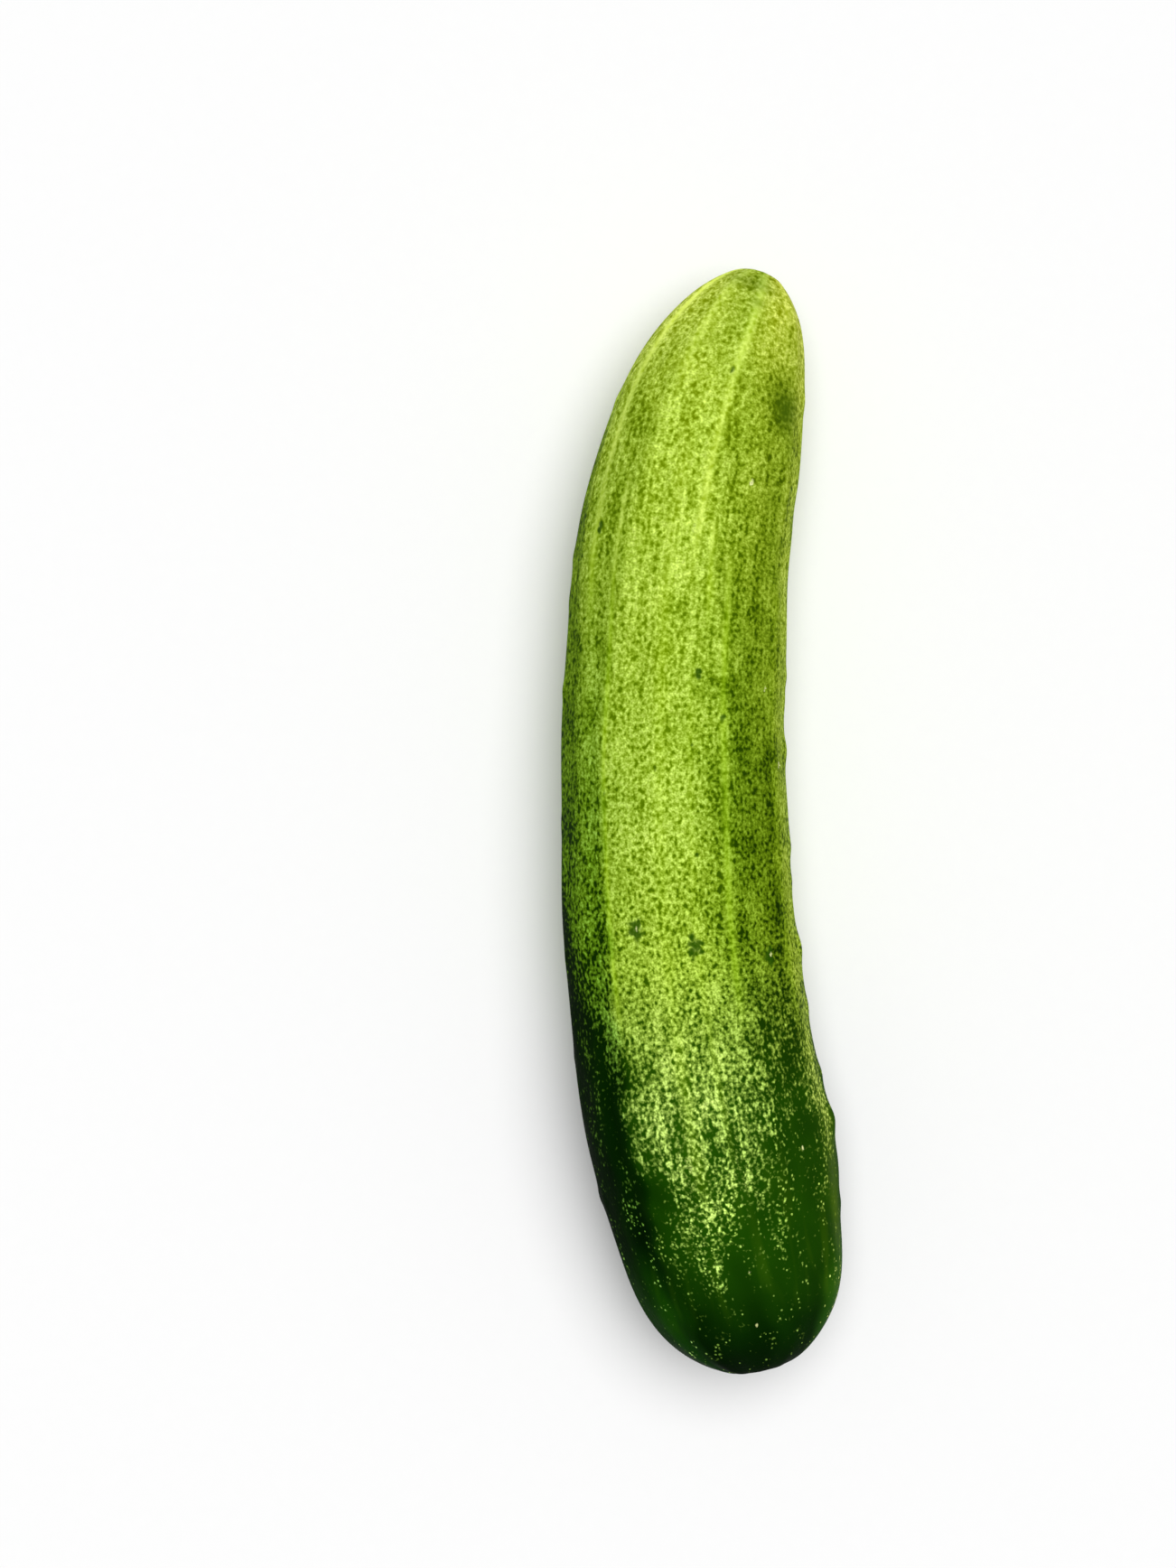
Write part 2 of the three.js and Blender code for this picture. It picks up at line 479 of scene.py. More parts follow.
def round_table(angle, table, column):
    """A column of a table by angle, blended all the way round."""
    start = table[0, 0]
    angles = np.append(table[:, 0], start + 360)
    values = np.append(table[:, column], table[0, column])
    return np.interp((angle - start) % 360 + start, angles, values)


def bands_and_painted_light(y, body):
    """The brightness of the bands, blended along the fruit, with painted shade, painted rim light
    and painted bounce light laid in.
    """
    blossom, middle, stem = (round_table(body, BANDS_AND_PAINTED_SHADE, column) for column in (2, 3, 4))
    upper, lower = smooth(*BLOSSOM_TONE, y), smooth(*STEM_TONE, y)
    tone = middle + (blossom - middle) * upper + (stem - middle) * lower
    # The bands even out into the blossom end, where painted rim light makes the flanks brighter
    # than the top
    tone = tone + (1 - tone) * 0.9 * smooth(64, 86, y - 12 * np.sin(np.radians(body)))
    turn = turn_between(body, 0)
    upper_side = smooth(160, 100, np.abs(turn))
    painted_rim_light = upper_side * (0.4 * smooth(-32, -62, turn) + 0.22 * smooth(20, 42, turn))
    top = np.exp(-(((turn - 14) / 28) ** 2))
    tone = tone * (1 + smooth(66, 86, y) * (painted_rim_light - 0.2 * top))
    # Painted bounce light: the dark stem end is made paler low on its flanks
    left_painted_bounce = 7 * smooth(-66, -92, y) * smooth(-34, -50, turn)
    right_painted_bounce = 0.5 * smooth(-62, -88, y) * smooth(4, 18, turn)
    right_painted_bounce = right_painted_bounce + 2.4 * smooth(-72, -90, y) * smooth(46, 62, turn)
    return tone * (1 + upper_side * (left_painted_bounce + right_painted_bounce))


def line_strength(y, angle, radius):
    """How strongly the smooth lines show."""
    lines = np.zeros(len(y))
    for low, low_turn, high, high_turn, strength, width in LINES:
        turn = low_turn + (high_turn - low_turn) * (y - low) / (high - low)
        around = arc(angle, turn, radius) / width
        span = smooth(low - 4, low + 8, y) * (1 - smooth(high - 2, high + 2, y))
        lines = np.maximum(lines, strength * span * np.exp(-(around**2)))
    return lines


def bruise_strength(y, angle, radius):
    """How strongly the bruises show."""
    bruise = np.zeros(len(y))
    for place, turn, long, wide, strength in BRUISES:
        around = arc(angle, turn, radius) / wide
        mark = strength * np.exp(-(((y - place) / long) ** 2) - around**2)
        bruise = np.maximum(bruise, mark)
    return bruise


def nearest_spot(y, angle, radius, spots):
    """How far outside the nearest spot's edge a place is, in millimetres, up to 6.

    A spot is a little longer than it is wide, and a large one has a soft, star-shaped edge.
    """
    gap = np.full(len(y), 6.0)
    for place, turn, size in spots:
        around = arc(angle, turn, radius)
        large = size > LARGE_SPOT
        star = 1 + 0.25 * large * np.cos(5 * np.arctan2(y - place, around) + place)
        soft = 0.6 if large else 1.0
        gap = np.minimum(gap, soft * (np.hypot(0.8 * (y - place), 1.15 * around) - size * star))
    return gap


def marking_fields(y, angle):
    """What the skin's material reads at each vertex."""
    body = body_angle(y, angle)
    radius = plain_radius(y)
    # The bands waver, and more so towards the stem
    turned = np.radians(body)
    sway = 1 + 1.2 * smooth(0, -40, y)
    waver = 1.1 * np.sin(0.31 * y + 3 * turned) + 0.7 * np.sin(0.83 * y + 6 * turned)
    body = body + sway * waver
    half, fade = round_table(body, FLECK_REACH, 1), round_table(body, FLECK_REACH, 2)
    reach = 1 / (1 + np.exp(-(y - half) / (0.5 * fade)))
    warmth = round_table(body, WARMTH, 1)
    # Where the grain grows: its cells are wider on the flanks and towards both ends
    flat = np.radians(angle)
    girth = radius * (1 - 0.14 * smooth(0, 60, y) - 0.04 * smooth(-38, -56, y))
    return {
        "grown": np.stack([girth * np.sin(flat), y, 0.68 * girth * np.cos(flat)], -1),
        "level": round_table(body, BANDS_AND_PAINTED_SHADE, 1) * reach + BARE * (1 - reach),
        # tone: the bands' brightness, with painted shade and painted rim and bounce light
        "tone": bands_and_painted_light(y, body),
        "warmth": np.where(warmth < 0, warmth * (1 - smooth(-35, 50, y)), warmth),
        "lines": line_strength(y, angle, radius),
        "dark_spots": nearest_spot(y, angle, radius, DARK_SPOTS),
        "pale_spots": nearest_spot(y, angle, radius, PALE_SPOTS),
        "bruise": bruise_strength(y, angle, radius),
    }


# ---- Meshes ----


def add_object(name, points, faces):
    """A smooth mesh object from points in millimetres."""
    mesh = bpy.data.meshes.new(name)
    mesh.from_pydata((points * MM).tolist(), [], faces)
    mesh.validate()
    mesh.shade_smooth()
    piece = bpy.data.objects.new(name, mesh)
    bpy.context.scene.collection.objects.link(piece)
    return piece


def store(mesh, name, values):
    """Keeps a value, or a vector, for each vertex."""
    kind = "FLOAT_VECTOR" if values.ndim == 2 else "FLOAT"
    key = "vector" if values.ndim == 2 else "value"
    attribute = mesh.attributes.new(name, kind, "POINT")
    attribute.data.foreach_set(key, values.astype(np.float32).ravel())


def ring_faces(rings, sides):
    """Faces of a closed skin: the first tip, rings of points one after another, the last tip."""
    last = 1 + rings * sides
    faces = []
    for side in range(sides):
        following = (side + 1) % sides
        faces.append((0, 1 + following, 1 + side))
        end = 1 + (rings - 1) * sides
        faces.append((last, end + side, end + following))
    for ring in range(rings - 1):
        start = 1 + ring * sides
        for side in range(sides):
            following = (side + 1) % sides
            faces.append(
                (start + side, start + following, start + sides + following, start + sides + side)
            )
    return faces


def unroll(mesh, y, sides):
    """A flat map of the skin: once round across, and its length up."""
    layer = mesh.uv_layers.new(name="OFBake")
    vertices = np.empty(len(mesh.loops), dtype=np.int64)
    mesh.loops.foreach_get("vertex_index", vertices)
    corners = np.empty(len(mesh.polygons), dtype=np.int64)
    mesh.polygons.foreach_get("loop_total", corners)
    face = np.repeat(np.arange(len(corners)), corners)
    tips = (vertices == 0) | (vertices == len(y) - 1)
    across = (vertices - 1) % sides / sides
    # A face on the seam runs on past 1
    widest = np.zeros(len(corners))
    np.maximum.at(widest, face, np.where(tips, 0, across))
    across = across + ((widest[face] > 0.75) & (across < 0.25) & ~tips)
    # A tip stands over the middle of each of its triangles
    middle = np.zeros(len(corners))
    np.add.at(middle, face, np.where(tips, 0, across) / 2)
    across = np.where(tips, middle[face], across)
    up = 0.5 + y[vertices] / (2 * HALF_LENGTH)
    layer.uv.foreach_set("vector", np.stack([across, up], -1).astype(np.float32).ravel())


# ---- Materials ----


def linear(red, green, blue):
    """A screen colour, 0 to 255 each, as the shader's numbers."""
    values = np.array([red, green, blue]) / 255
    bright = ((values + 0.055) / 1.055) ** 2.4
    return (*np.where(values <= 0.04045, values / 12.92, bright).tolist(), 1.0)


def opaque(colour):
    """A setting's colour as the shader takes it."""
    return (*colour, 1.0)


class Graph:
    """Adds nodes to a tree. A setting that is a socket is linked, and any other is set."""

    def __init__(self, tree):
        self.tree = tree

    def set(self, socket, value):
        if isinstance(value, bpy.types.NodeSocket):
            self.tree.links.new(value, socket)
        else:
            socket.default_value = value

    def add(self, kind, inputs=(), **settings):
        node = self.tree.nodes.new(kind)
        for name, value in settings.items():
            setattr(node, name, value)
        for name, value in dict(inputs).items():
            self.set(node.inputs[name], value)
        return node

    def math(self, operation, *values, clamp=False):
        node = self.add("ShaderNodeMath", operation=operation, use_clamp=clamp)
        for socket, value in zip(node.inputs, values):
            self.set(socket, value)
        return node.outputs[0]

    def ease(self, value, low, high, out_low=0.0, out_high=1.0):
        """value from low to high, eased into out_low to out_high."""
        inputs = {0: value, 1: low, 2: high, 3: out_low, 4: out_high}
        node = self.add("ShaderNodeMapRange", inputs, interpolation_type="SMOOTHSTEP")
        return node.outputs[0]

    def mix(self, factor, a, b, blend="MIX"):
        """Colour b laid over colour a."""
        inputs = {0: factor, 6: a, 7: b}
        node = self.add("ShaderNodeMix", inputs, data_type="RGBA", blend_type=blend)
        return node.outputs[2]

    def read(self, name, output="Fac"):
        """What is stored at the vertices under a name."""
        return self.add("ShaderNodeAttribute", attribute_name=name).outputs[output]

    def ramp(self, value, stops):
        """The colour that value, from 0 to 1, has between the stops."""
        node = self.add("ShaderNodeValToRGB", {0: value})
        elements = node.color_ramp.elements
        while len(elements) < len(stops):
            elements.new(0.5)
        for element, (place, colour) in zip(elements, stops):
            element.position = place
            element.color = colour
        return node.outputs[0]


def new_material(name):
    """A new material, its graph, and the shader of its surface."""
    material = bpy.data.materials.new(name)
    material.use_nodes = True
    material.node_tree.nodes.clear()
    graph = Graph(material.node_tree)
    shader = graph.add("ShaderNodeBsdfPrincipled")
    output = graph.add("ShaderNodeOutputMaterial")
    graph.set(output.inputs["Surface"], shader.outputs[0])
    return material, graph, shader


def grain_group():
    """The shader group that draws living grain: cells of one size, drawn out along the fruit."""
    name = "Grown grain"
    if name in bpy.data.node_groups:
        return bpy.data.node_groups[name]
    group = bpy.data.node_groups.new(name, "ShaderNodeTree")
    for label, kind in (
        ("Place", "NodeSocketVector"),
        ("Cell", "NodeSocketFloat"),
        ("Stretch", "NodeSocketFloat"),
    ):
        group.interface.new_socket(label, in_out="INPUT", socket_type=kind)
    group.interface.new_socket("Grain", in_out="OUTPUT", socket_type="NodeSocketFloat")
    graph = Graph(group)
    given = graph.add("NodeGroupInput").outputs
    across = graph.math("DIVIDE", 1.0, given["Cell"])
    lengthwise = graph.math("DIVIDE", across, given["Stretch"])
    scale = graph.add("ShaderNodeCombineXYZ", {"X": across, "Y": lengthwise, "Z": across})
    place = graph.add("ShaderNodeVectorMath", operation="MULTIPLY")
    graph.set(place.inputs[0], given["Place"])
    graph.set(place.inputs[1], scale.outputs[0])
    inputs = {"Vector": place.outputs[0], "Scale": 1.0, "Detail": 0.0}
    noise = graph.add("ShaderNodeTexNoise", inputs)
    even = graph.math("SUBTRACT", noise.outputs["Fac"], 0.5)
    result = graph.add("NodeGroupOutput")
    graph.set(result.inputs["Grain"], graph.math("DIVIDE", even, NOISE_SPREAD))
    return group


def grain(graph, place, cell, stretch=1.0):
    """Living grain of one cell size, in millimetres. It varies by 1 or so around 0."""
    node = graph.add("ShaderNodeGroup", node_tree=grain_group())
    for name, value in {"Place": place, "Cell": cell, "Stretch": stretch}.items():
        graph.set(node.inputs[name], value)
    return node.outputs["Grain"]


def cells_of(graph, place, cell, stretch):
    """Separate cells of one size, in millimetres, drawn out along the fruit."""
    squeeze = graph.add("ShaderNodeVectorMath", operation="MULTIPLY")
    graph.set(squeeze.inputs[0], place)
    graph.set(squeeze.inputs[1], (1 / cell, 1 / (cell * stretch), 1 / cell))
    inputs = {"Vector": squeeze.outputs[0], "Scale": 1.0}
    return graph.add("ShaderNodeTexVoronoi", inputs).outputs


def dots(graph, place, cell, stretch, size, share):
    """Soft dots of that size or a little more: share is the part of the cells with one."""
    cells = cells_of(graph, place, cell, stretch)
    pick = graph.add("ShaderNodeSeparateColor", {0: cells["Color"]}).outputs
    kept = graph.math("LESS_THAN", pick[0], share)
    edge = graph.math("ADD", graph.math("MULTIPLY", pick[1], 0.2), size)
    inner = graph.math("MULTIPLY", edge, 0.35)
    inside = graph.ease(cells["Distance"], inner, edge, 1.0, 0.0)
    bright = graph.math("MULTIPLY_ADD", pick[2], 0.5, 0.5)
    return graph.math("MULTIPLY", inside, graph.math("MULTIPLY", kept, bright))


def beads(graph, place, cell, stretch):
    """Evenly spread beads: 2 or so at the middle of each, below -1 between them."""
    cells = cells_of(graph, place, cell, stretch)
    return graph.math("MULTIPLY_ADD", cells["Distance"], -5.5, 2.8)


def skin_grain(graph, place, speck):
    """The layers of grain that the skin's markings are made of, each around 0."""
    folded = graph.math("ABSOLUTE", grain(graph, place, speck * 1.8, 1.35))
    return {
        "fine": grain(graph, place, speck, 1.25),
        "grit": grain(graph, place, speck * 0.5, 1.1),
        "threads": graph.math("MULTIPLY_ADD", folded, -1.65, 1.32),
        "beads": beads(graph, place, 0.6, 1.25),
        "hairs": grain(graph, place, speck * 0.9, 14.0),
        "streaks": grain(graph, place, speck * 2.8, 12.0),
        "clouds": grain(graph, place, 4.0, 1.6),
    }


def skin_flecks(graph, place, share, stemward, layers):
    """How far flecks cover a place: softly at the blossom end, crisply towards the stem."""
    beaded = graph.ease(share, 0.2, 0.42, 1.0, 0.0)
    drawn = graph.math(
        "MULTIPLY",
        graph.ease(share, 0.55, 0.72, 0.16, 0.46),
        graph.ease(share, 0.8, 0.94, 1.0, 0.4),
    )
    weights = {
        "fine": 0.75,
        "threads": graph.math("MULTIPLY_ADD", beaded, -0.3, 0.6),
        "beads": graph.math("MULTIPLY", beaded, 0.45),
        "grit": 0.22,
        "hairs": drawn,
        "streaks": graph.math("MULTIPLY_ADD", beaded, 0.2, drawn),
        "clouds": graph.ease(graph.read("tone"), 0.4, 0.9, 0.4, 0.08),
    }
    reach = graph.read("level")
    level = graph.math("MULTIPLY_ADD", graph.read("lines"), 0.9, reach)
    for name, weight in weights.items():
        level = graph.math("MULTIPLY_ADD", layers[name], weight, level)
    crisp = graph.math(
        "ADD",
        graph.ease(share, 0.14, 0.36, 0.1, 0.0),
        graph.ease(share, 0.46, 0.72, 0.24, 0.184),
    )
    middle = graph.ease(share, 0.14, 0.4, 0.56, 0.5)
    flecks = graph.math("MULTIPLY_ADD", level, crisp, middle, clamp=True)
    flecks = graph.math("POWER", flecks, graph.ease(share, 0.14, 0.4, 1.9, 1.0))
    # Past the field's edge, lone dots run on along the streaks
    strewn = graph.math("MULTIPLY_ADD", layers["streaks"], 1.2, reach)
    lone = dots(graph, place, 0.7, 1.1, 0.25, graph.ease(strewn, -3.6, -0.4, 0.0, 0.6))
    return graph.math("MAXIMUM", flecks, graph.math("MULTIPLY", lone, stemward))


def tinted(graph, colour, tone, warm):
    """A green made duller by tone, which takes out red and most of all blue, and warmed."""
    red = graph.math("MULTIPLY", graph.math("POWER", tone, 1.3), warm)
    powers = {0: red, 1: tone, 2: graph.math("POWER", tone, 1.5)}
    tint = graph.add("ShaderNodeCombineColor", powers).outputs[0]
    return graph.mix(1.0, colour, tint, "MULTIPLY")


def skin_colour(graph, place, share, stemward, layers, flecks):
    """Pale flecks on a green ground, crossed by smooth lines and darkened in bands, whose tone
    also holds painted shade and painted light.
    """
    # The ground darkens to the stem tip: the skin's own dark green, deepened by painted shade in
    # the first stops
    ground = graph.ramp(
        share,
        [
            (0.0, linear(4, 22, 2)),
            (0.05, linear(10, 40, 2)),
            (0.14, linear(33, 79, 3)),
            (0.24, linear(40, 86, 3)),
            (0.34, linear(48, 84, 2)),
            (0.5, linear(90, 122, 6)),
            (0.75, linear(98, 128, 9)),
            (1.0, linear(114, 134, 14)),
        ],
    )
    pale = graph.ramp(
        share,
        [
            (0.0, linear(132, 164, 74)),
            (0.08, linear(156, 190, 96)),
            (0.15, linear(202, 232, 120)),
            (0.25, linear(214, 241, 126)),
            (0.37, linear(198, 228, 92)),
            (0.5, linear(203, 232, 104)),
            (0.85, linear(208, 235, 102)),
            (1.0, linear(208, 226, 108)),
        ],
    )
    # Flecks differ in brightness, and most towards the stem
    spread = graph.ease(share, 0.1, 0.4, 0.3, 0.16)
    tongues = graph.math("MULTIPLY", layers["streaks"], stemward)
    uneven = graph.math("MULTIPLY_ADD", layers["grit"], 0.7, tongues)
    glint = graph.math("MULTIPLY_ADD", uneven, spread, 0.96)
    glint = graph.add("ShaderNodeCombineColor", {0: glint, 1: glint, 2: glint}).outputs[0]
    pale = graph.mix(1.0, pale, glint, "MULTIPLY")
    # A half-grown fleck is greener than a full one
    young = graph.mix(1.0, pale, (0.9, 1.0, 0.55, 1.0), "MULTIPLY")
    pale = graph.mix(flecks, young, pale)

    # The smooth lines, which are paler at the blossom end
    line = graph.mix(flecks, linear(156, 192, 12), linear(200, 234, 64))
    tip_line = graph.mix(flecks, linear(178, 208, 52), linear(216, 240, 108))
    line = graph.mix(graph.ease(share, 0.66, 0.78), line, tip_line)
    line_share = graph.math("MULTIPLY", graph.read("lines"), 0.8)
    pale = graph.mix(line_share, pale, line)
    ground = graph.mix(line_share, ground, line)
    # Faint veins in the dark ground
    veins = graph.ease(grain(graph, place, 1.5, 18.0), 0.0, 2.2, 0.0, 0.35)
    dark_end = graph.math("MULTIPLY", stemward, graph.ease(share, 0.05, 0.12))
    ground = graph.mix(graph.math("MULTIPLY", veins, dark_end), ground, linear(62, 98, 10))

    # The bands, with the painted shade and painted light that their tone holds: a dull one
    # darkens its ground more than its flecks
    tone = graph.math("MULTIPLY_ADD", layers["clouds"], 0.03, graph.read("tone"))
    warmth = graph.read("warmth")
    warm = graph.math("MULTIPLY_ADD", warmth, 0.25, 1.0)
    # Below 0, warmth darkens the ground: partly a deeper green, partly painted shade on the left
    # flank
    deep_and_painted_shade = graph.ease(warmth, -0.8, 0.0, 0.5)
    depth = graph.math("MULTIPLY", graph.math("POWER", tone, 1.4), deep_and_painted_shade)
    ground = tinted(graph, ground, depth, warm)
    pale = tinted(graph, pale, graph.math("POWER", tone, 0.78), warm)
    colour = graph.mix(flecks, ground, pale)
    # Dull green holds hardly any blue, but for the flecks at the stem
    red, green, blue = graph.add("ShaderNodeSeparateColor", {0: colour}).outputs[:3]
    least = graph.ease(share, 0.2, 0.44, 1.0, 0.2)
    blue = graph.math("MULTIPLY", blue, graph.ease(green, 0.1, 0.7, least, 1.0))
    return graph.add("ShaderNodeCombineColor", {0: red, 1: green, 2: blue}).outputs[0]


def marked(graph, settings, colour, layers):
    """The skin's colour under its bruises, dark stars and pale specks."""
    shown = graph.ease(layers["fine"], -2.0, 2.0, 1.0, 0.7)
    bruise = graph.math("MULTIPLY", graph.read("bruise"), shown)
    colour = graph.mix(bruise, colour, opaque(settings.bruise_colour))
    gap = graph.math("MULTIPLY_ADD", layers["threads"], 0.13, graph.read("dark_spots"))
    dark = graph.ease(gap, -0.5, 0.2, 0.9, 0.0)
    colour = graph.mix(dark, colour, opaque(settings.dark_spot_colour))
    gap = graph.math("MULTIPLY_ADD", layers["fine"], 0.08, graph.read("pale_spots"))
    pale = graph.ease(gap, -0.2, 0.15, 0.95, 0.0)
    return graph.mix(pale, colour, opaque(settings.pale_spot_colour))


def add_bump(graph, shader, strength, distance, height):
    """Lets the light catch a fine relief, distance in metres."""
    inputs = {"Strength": strength, "Distance": distance, "Height": height}
    graph.set(shader.inputs["Normal"], graph.add("ShaderNodeBump", inputs).outputs[0])


def skin_material(settings):
    """Waxy skin: pale flecks on a green ground that darkens towards the stem."""
    material, graph, shader = new_material("cucumber skin")
    place = graph.read("grown", "Vector")
    length = graph.add("ShaderNodeSeparateXYZ", {0: place}).outputs["Y"]
    # How far along from the stem, 0, to the blossom end, 1
    ends = {0: length, 1: -HALF_LENGTH, 2: HALF_LENGTH}
    share = graph.add("ShaderNodeMapRange", ends).outputs[0]
    stemward = graph.ease(share, 0.15, 0.32, 1.0, 0.0)
    layers = skin_grain(graph, place, settings.speck_size / MM)
    flecks = skin_flecks(graph, place, share, stemward, layers)
    colour = skin_colour(graph, place, share, stemward, layers, flecks)
    graph.set(shader.inputs["Base Color"], marked(graph, settings, colour, layers))
    clouds = layers["clouds"]
    graph.set(shader.inputs["Roughness"], graph.ease(clouds, -2.0, 2.0, 0.42, 0.54))
    graph.set(shader.inputs["Specular IOR Level"], settings.gloss)
    add_bump(graph, shader, 0.25, 0.03 * MM, graph.math("ADD", layers["fine"], clouds))
    return material


def cork_material():
    """Dry, pale brown cork, with darker pits."""
    material, graph, shader = new_material("scar cork")
    place = graph.read("grown", "Vector")
    coarse = grain(graph, place, 1.1)
    fine = grain(graph, place, 0.3)
    colour = graph.ramp(
        graph.math("MULTIPLY_ADD", coarse, 0.18, 0.5),
        [
            (0.1, linear(84, 70, 36)),
            (0.4, linear(150, 134, 82)),
            (0.65, linear(186, 174, 118)),
            (0.9, linear(128, 140, 66)),
        ],
    )
    colour = graph.mix(graph.ease(fine, -1.5, 1.0, 0.5, 0.0), colour, linear(66, 58, 30))
    graph.set(shader.inputs["Base Color"], colour)
    graph.set(shader.inputs["Roughness"], 0.85)
    add_bump(graph, shader, 0.7, 0.04 * MM, graph.math("ADD", coarse, fine))
    return material


def spine_material():
    """Dry, pale straw."""
    material, graph, shader = new_material("dry spine")
    place = graph.add("ShaderNodeTexCoord").outputs["Object"]
    noise = graph.add("ShaderNodeTexNoise", {"Vector": place, "Scale": 1500.0, "Detail": 2.0})
    colour = graph.mix(noise.outputs["Fac"], linear(176, 180, 104), linear(222, 226, 168))
    graph.set(shader.inputs["Base Color"], colour)
    graph.set(shader.inputs["Roughness"], 0.6)
    return material


# ---- Settings ----


class CucumberSettings(bpy.types.PropertyGroup):
    """What a user would change about the fruit."""

    rings: bpy.props.IntProperty(
        name="Rings", description="Rings of points along the fruit", default=340, min=40, max=345
    )
    sides: bpy.props.IntProperty(
        name="Sides", description="Points round each ring", default=280, min=24, max=288
    )
    speck_size: bpy.props.FloatProperty(
        name="Speck size",
        description="Size of one cell of the skin's speckle",
        default=0.00056,
        precision=5,
        subtype="DISTANCE",
        unit="LENGTH",
    )
    bruise_colour: bpy.props.FloatVectorProperty(
        name="Bruises",
        description="Colour of the shallow bruises",
        default=linear(66, 92, 6)[:3],
        subtype="COLOR",
    )
    dark_spot_colour: bpy.props.FloatVectorProperty(
        name="Dark spots",
        description="Colour of the spots where spines have come off",
        default=linear(38, 76, 4)[:3],
        subtype="COLOR",
    )
    pale_spot_colour: bpy.props.FloatVectorProperty(
        name="Pale spots",
        description="Colour of the pale specks under the spine stubs",
        default=linear(228, 234, 160)[:3],
        subtype="COLOR",
    )
    gloss: bpy.props.FloatProperty(
        name="Gloss",
        description="How strongly the waxy skin mirrors light",
        default=0.002,
        min=0,
        max=1,
    )


class StageSettings(bpy.types.PropertyGroup):
    """What a user would change about the light and the view."""

    lens: bpy.props.FloatProperty(
        name="Lens",
        description="Focal length of the camera",
        default=70.0,
        subtype="DISTANCE_CAMERA",
    )
    key_strength: bpy.props.FloatProperty(
        name="Key light", description="Strength of the soft key light", default=2.95
    )
    key_softness: bpy.props.FloatProperty(
        name="Key softness", description="How wide the key light looks, in degrees", default=50.0
    )
    key_tilt: bpy.props.FloatVectorProperty(
        name="Key tilt",
        description="How far the key light is turned away from straight above",
        default=(math.radians(-9), math.radians(7), 0.0),
        subtype="EULER",
    )
    world_strength: bpy.props.FloatProperty(
        name="Ambient light", description="Strength of the light from all round", default=0.24
    )
    floor_colour: bpy.props.FloatVectorProperty(
        name="Floor",
        description="Colour of the floor",
        default=(0.86, 0.86, 0.86),
        subtype="COLOR",
    )


# ---- Operators ----


class CUCUMBER_OT_skin(bpy.types.Operator):
    """Grow the skin, with its ribs, warts and speckle"""

    bl_idname = "cucumber.skin"
    bl_label = "Grow the skin"

    def execute(self, context):
        settings = context.scene.cucumber
        rings, sides = ring_places(settings.rings), settings.sides
        turns = np.arange(sides) * 360 / sides
        y = np.concatenate([[-HALF_LENGTH], np.repeat(rings, sides), [HALF_LENGTH]])
        angle = np.concatenate([[0], np.tile(turns, len(rings)), [0]])
        skin = add_object("cucumber_skin", skin_points(y, angle), ring_faces(len(rings), sides))
        for name, values in marking_fields(y, angle).items():
            store(skin.data, name, values)
        unroll(skin.data, y, sides)
        skin.data.materials.append(skin_material(settings))
        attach(skin, BODY)
        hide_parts(NODE)
        return {"FINISHED"}


def scar_disc(name, end, radius, height):
    """A lens of cork that fills a tip's dimple: end is -1 for the stem and 1 for the blossom."""
    rings, sides = 22, 72
    rim, under = -0.25, -0.8
    tip = end * HALF_LENGTH
    near = tip - end * np.linspace(0, 12, 2000)
    share = (np.arange(1, rings + 1) / rings)[:, None]
    turns = np.arange(sides) * 360 / sides
    spokes = np.radians(turns)
    ragged = 1 + 0.06 * np.sin(3 * spokes + 1) + 0.05 * np.sin(5 * spokes)
    ragged = ragged + 0.03 * np.sin(11 * spokes)
    y = np.interp(share * radius * ragged, plain_radius(near), near)
    crumbs = scatter(np.arange(rings)[:, None], np.arange(sides)[None, :])
    lift = height * (1 - share**3) + 0.1 * (crumbs - 0.5) * (share < 0.95)
    lift = np.where(share > 0.97, rim, lift)
    angle = np.broadcast_to(turns, y.shape)
    points = skin_points(y.ravel(), angle.ravel(), lift.ravel())
    top, base = (skin_points(np.array([tip]), np.zeros(1), rise) for rise in (height, under))
    points = np.vstack([top, points, base])
    faces = ring_faces(rings, sides)
    if end > 0:
        faces = [face[::-1] for face in faces]
    disc = add_object(name, points, faces)
    store(disc.data, "grown", points)
    return disc


class CUCUMBER_OT_scars(bpy.types.Operator):
    """Seal both tips with cork, where the stem and the blossom came off"""

    bl_idname = "cucumber.scars"
    bl_label = "Seal the tips"

    def execute(self, context):
        cork = cork_material()
        for name, end, radius, height in (
            ("stem_scar", -1, 3.7, 0.45),
            ("blossom_scar", 1, 1.9, 0.25),
        ):
            disc = scar_disc(name, end, radius, height)
            disc.data.materials.append(cork)
            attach(disc, BODY)
        return {"FINISHED"}


class CUCUMBER_OT_spines(bpy.types.Operator):
    """Leave a few broken spine stubs on the warts"""

    bl_idname = "cucumber.spines"
    bl_label = "Leave spine stubs"

    def execute(self, context):
        sides, radius, height, root = 6, 0.13, 0.3, 0.25
        points, faces = [], []
        for place, turn, _ in PALE_SPOTS:
            y, angle = np.array([float(place)]), np.array([float(turn)])
            base = skin_points(y, angle)[0]
            tip = skin_points(y, angle, np.array([1.0]))[0]
            out = (tip - base) / np.linalg.norm(tip - base)
            side = np.cross(out, (0, 1, 0))
            side /= np.linalg.norm(side)
            other = np.cross(out, side)
            start = len(points)
            for level, width in ((-root, radius), (height * 0.6, radius * 0.8)):
                for k in range(sides):
                    spin = 2 * math.pi * k / sides
                    spoke = math.cos(spin) * side + math.sin(spin) * other
                    points.append(base + out * level + spoke * width)
            points.append(base + out * height)
            faces.append(tuple(start + k for k in range(sides)))
            for k in range(sides):
                following = (k + 1) % sides
                low, high = start + k, start + sides + k
                low_next, high_next = start + following, start + sides + following
                faces.append((low_next, low, high, high_next))
                faces.append((high_next, high, start + 2 * sides))
        stubs = add_object("spine_stubs", np.array(points), faces)
        stubs.data.materials.append(spine_material())
        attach(stubs, BODY)
        return {"FINISHED"}


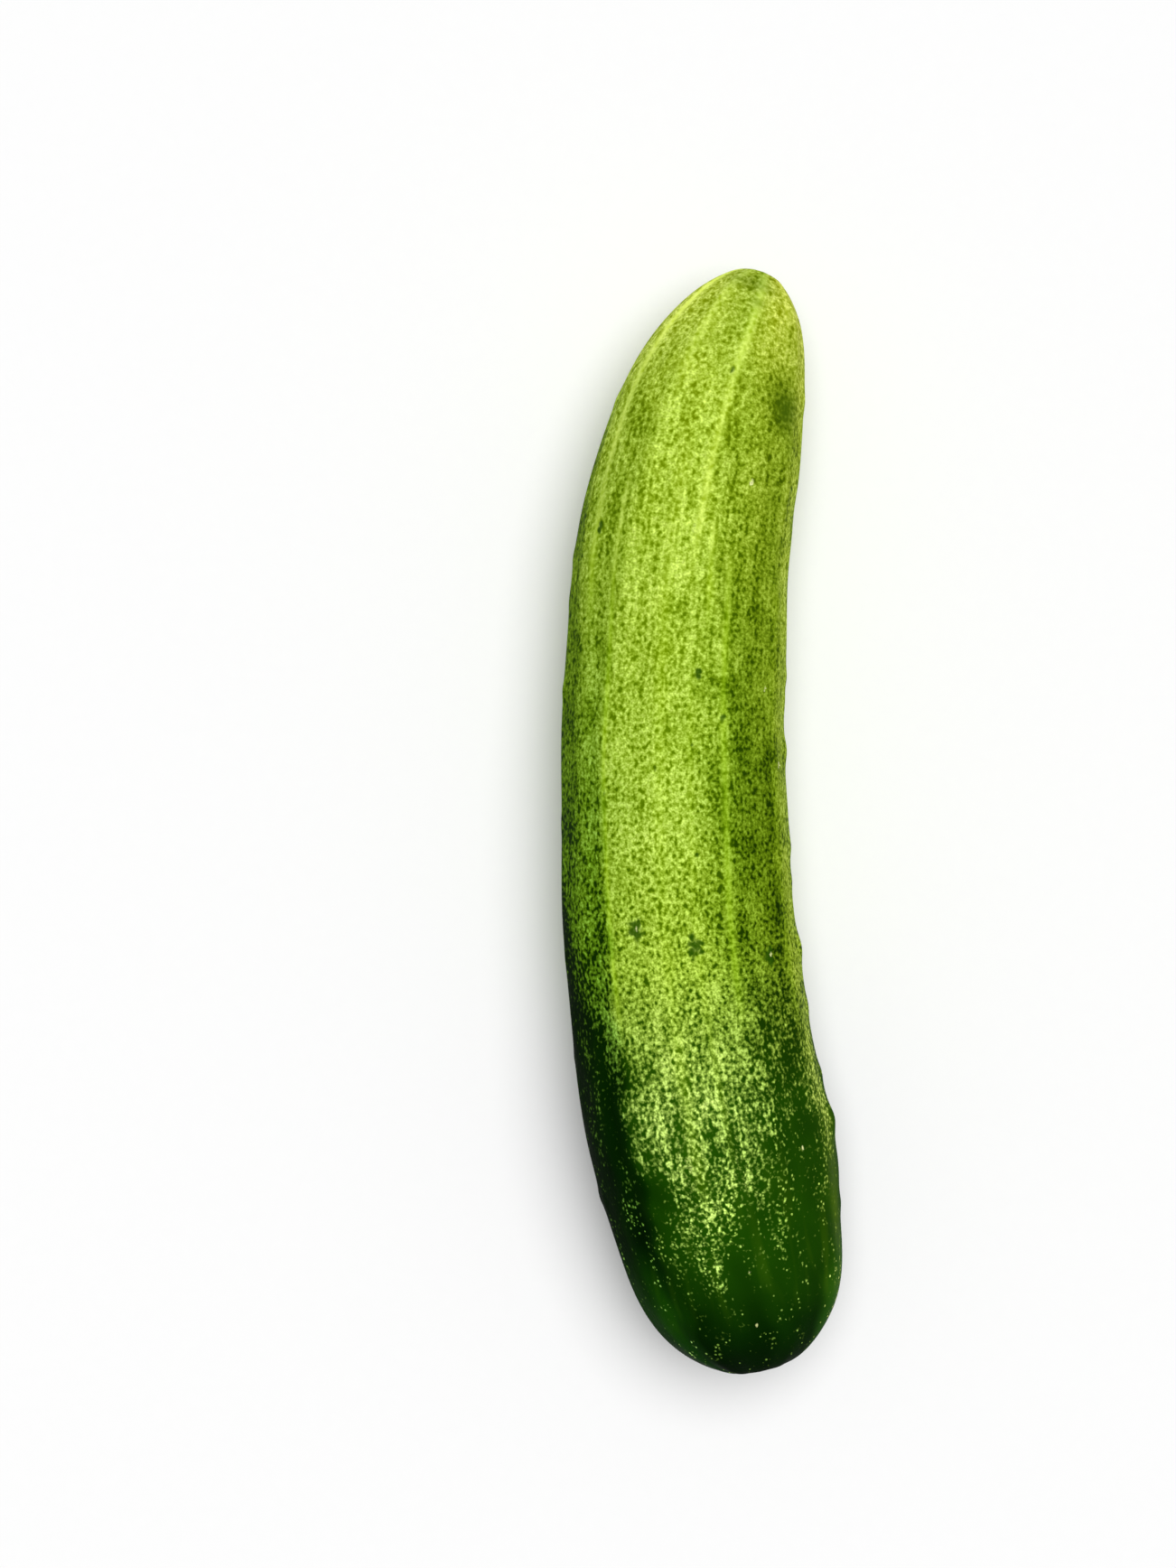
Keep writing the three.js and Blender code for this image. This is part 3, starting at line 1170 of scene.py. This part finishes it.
class CUCUMBER_OT_stage(bpy.types.Operator):
    """Set the pale floor, the soft lights and the camera straight above"""

    bl_idname = "cucumber.stage"
    bl_label = "Set the stage"

    def execute(self, context):
        scene = context.scene
        settings = scene.cucumber_stage
        scene.view_settings.view_transform = "Standard"

        # The floor lies just under the fruit, so that the two faces don't meet
        half, gap = 3.0, 0.0002
        corners = half * np.array([(-1, -1, 0), (1, -1, 0), (1, 1, 0), (-1, 1, 0)])
        floor = add_object("floor", corners / MM, [(0, 1, 2, 3)])
        floor.location.z = -gap
        paper, graph, shader = new_material("paper floor")
        place = graph.add("ShaderNodeTexCoord").outputs["Object"]
        fibre = graph.add("ShaderNodeTexNoise", {"Vector": place, "Scale": 400.0, "Detail": 3.0})
        bright = opaque(settings.floor_colour)
        dim = opaque(0.985 * part for part in settings.floor_colour)
        graph.set(shader.inputs["Base Color"], graph.mix(fibre.outputs["Fac"], bright, dim))
        graph.set(shader.inputs["Roughness"], 0.9)
        graph.set(shader.inputs["Specular IOR Level"], 0.0)
        floor.data.materials.append(paper)

        sun = bpy.data.lights.new("soft key", "SUN")
        sun.energy = settings.key_strength
        sun.angle = math.radians(settings.key_softness)
        lamp = bpy.data.objects.new("soft key", sun)
        lamp.rotation_euler = settings.key_tilt
        scene.collection.objects.link(lamp)

        world = bpy.data.worlds.new("studio")
        world.use_nodes = True
        background = world.node_tree.nodes["Background"]
        background.inputs["Color"].default_value = (1, 1, 1, 1)
        background.inputs["Strength"].default_value = settings.world_strength
        scene.world = world

        camera_data = bpy.data.cameras.new("camera")
        camera_data.lens = settings.lens
        camera_data.sensor_width = 36.0
        camera = bpy.data.objects.new("camera", camera_data)
        # Straight above this point, and far enough for that length to fill the view
        centre_x, centre_y, centre_z, seen_length = -0.0195, 0.0061, 0.020, 0.2697
        distance = seen_length * settings.lens / camera_data.sensor_width
        camera.location = (centre_x, centre_y, centre_z + distance)
        scene.collection.objects.link(camera)
        scene.camera = camera
        return {"FINISHED"}


class CUCUMBER_PT_panel(bpy.types.Panel):
    """The steps in their order, with their settings"""

    bl_idname = "CUCUMBER_PT_panel"
    bl_label = "Cucumber"
    bl_space_type = "VIEW_3D"
    bl_region_type = "UI"
    bl_category = "Cucumber"

    def draw(self, context):
        for settings in (context.scene.cucumber, context.scene.cucumber_stage):
            for name in settings.__annotations__:
                self.layout.prop(settings, name)
        for step in STEPS:
            self.layout.operator(step.bl_idname)


STEPS = (CUCUMBER_OT_skin, CUCUMBER_OT_scars, CUCUMBER_OT_spines, CUCUMBER_OT_stage)
CLASSES = (CucumberSettings, StageSettings, *STEPS, CUCUMBER_PT_panel)


def register():
    for item in CLASSES:
        bpy.utils.register_class(item)
    bpy.types.Scene.cucumber = bpy.props.PointerProperty(type=CucumberSettings)
    bpy.types.Scene.cucumber_stage = bpy.props.PointerProperty(type=StageSettings)


def unregister():
    del bpy.types.Scene.cucumber_stage
    del bpy.types.Scene.cucumber
    for item in reversed(CLASSES):
        bpy.utils.unregister_class(item)


def main():
    register()
    bpy.ops.cucumber.skin()
    bpy.ops.cucumber.scars()
    bpy.ops.cucumber.spines()
    bpy.ops.cucumber.stage()


if __name__ == "__main__":
    main()
